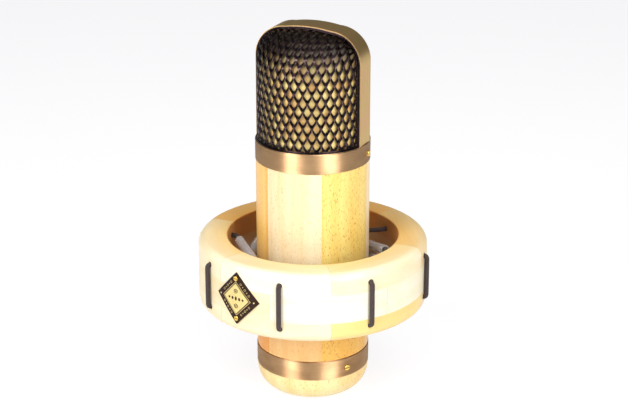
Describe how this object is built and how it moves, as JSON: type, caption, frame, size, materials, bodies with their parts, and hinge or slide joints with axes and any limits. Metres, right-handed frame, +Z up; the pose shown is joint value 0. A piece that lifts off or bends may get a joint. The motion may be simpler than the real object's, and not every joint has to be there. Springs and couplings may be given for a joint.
{
  "type": "condenser microphone",
  "caption": "Side-address condenser microphone with a round wooden body and mesh head, held by elastic cord in a round wooden suspension ring with a tilting stand thread.",
  "frame": {"origin": "on the microphone's axis at the foot of its base, which is the mouth of the cable recess", "axes": "+Z up along the microphone's axis, -Y towards the front of the head, X across the hoop"},
  "size_m": [0.1318, 0.1545, 0.2106],
  "materials": {
    "body_wood": "satin oiled",
    "ring_wood": "satin oiled",
    "brass": "satin brushed",
    "dark_mesh": "bronzed",
    "gauze": "fine woven gauze",
    "elastic": "braided",
    "silicone": "milky, translucent",
    "badge_dark": "dark patina",
    "badge_gold": "satin",
    "insulator": "matte",
    "saddle": "polished",
    "capsule_gold": "gold film",
    "aluminium": "brushed",
    "steel": "brushed",
    "black_metal": "black powder coat",
    "glass": "clear",
    "board": "solder mask",
    "film": "moulded",
    "knob": "fine texture"
  },
  "bodies": {
    "microphone": {"base_cap": "body_wood", "lower_band": "brass", "lower_band_screws": "brass", "body_stave_1": "body_wood", "body_stave_2": "body_wood", "body_stave_3": "body_wood", "body_stave_4": "body_wood", "body_stave_5": "body_wood", "body_stave_6": "body_wood", "upper_band": "brass", "upper_band_screws": "brass", "head_hoop": "brass", "front_mesh": "dark_mesh", "rear_mesh": "dark_mesh", "front_gauze": "gauze", "rear_gauze": "gauze", "head_plate": "insulator", "capsule_saddle": "saddle", "capsule_backplate": "brass", "front_diaphragm": "capsule_gold", "rear_diaphragm": "capsule_gold", "front_clamp_ring": "brass", "rear_clamp_ring": "brass", "capsule_screws": "brass", "capsule_leads": "insulator", "top_plate": "aluminium", "base_plate": "aluminium", "base_screws": "steel", "chassis_rail_left": "aluminium", "chassis_rail_right": "aluminium", "chassis_screws": "steel", "circuit_board": "board", "valve_socket": "insulator", "valve_glass": "glass", "valve_plates": "steel", "output_transformer": "steel", "coupling_capacitor": "film", "connector_shell": "steel", "connector_insert": "insulator", "connector_pins": "badge_gold"},
    "sleeves": {"grip_sleeves": "silicone"},
    "ring": {"ring_layer_bottom": "ring_wood", "ring_layer_middle": "ring_wood", "ring_layer_top": "ring_wood", "elastic_outer_runs": "elastic", "elastic_inner_runs": "elastic", "badge_plate": "badge_dark", "badge_inlay": "badge_gold", "badge_screws": "badge_gold", "bracket": "black_metal", "bracket_screws": "steel", "clamp_nut": "steel"},
    "stand_swivel": {"stand_adaptor": "black_metal", "thread_insert": "brass"},
    "clamp_knob": {"clamp_bolt": "steel", "clamp_washer": "steel", "clamp_knob": "knob"}
  },
  "joints": [
    {"name": "mount_slide", "type": "slide", "parent": "microphone", "child": "sleeves", "axis": [0, 0, 1], "range_m": [-0.022, 0.044]},
    {"name": "ring_bounce", "type": "slide", "parent": "sleeves", "child": "ring", "axis": [0, 0, 1], "range_m": [-0.006, 0.006], "stiffness_N_per_m": 800, "springref_m": 0.003, "deforming": ["elastic_inner_runs"]},
    {"name": "stand_tilt", "type": "hinge", "parent": "ring", "child": "stand_swivel", "pos_m": [-0.04213, 0.07151, 0.07175], "axis": [0.8616, 0.5075, 0], "range_deg": [0, 120]},
    {"name": "clamp_turn", "type": "hinge", "parent": "ring", "child": "clamp_knob", "pos_m": [-0.04213, 0.07151, 0.07175], "axis": [0.8616, 0.5075, 0], "range_deg": [0, 360]}
  ]
}
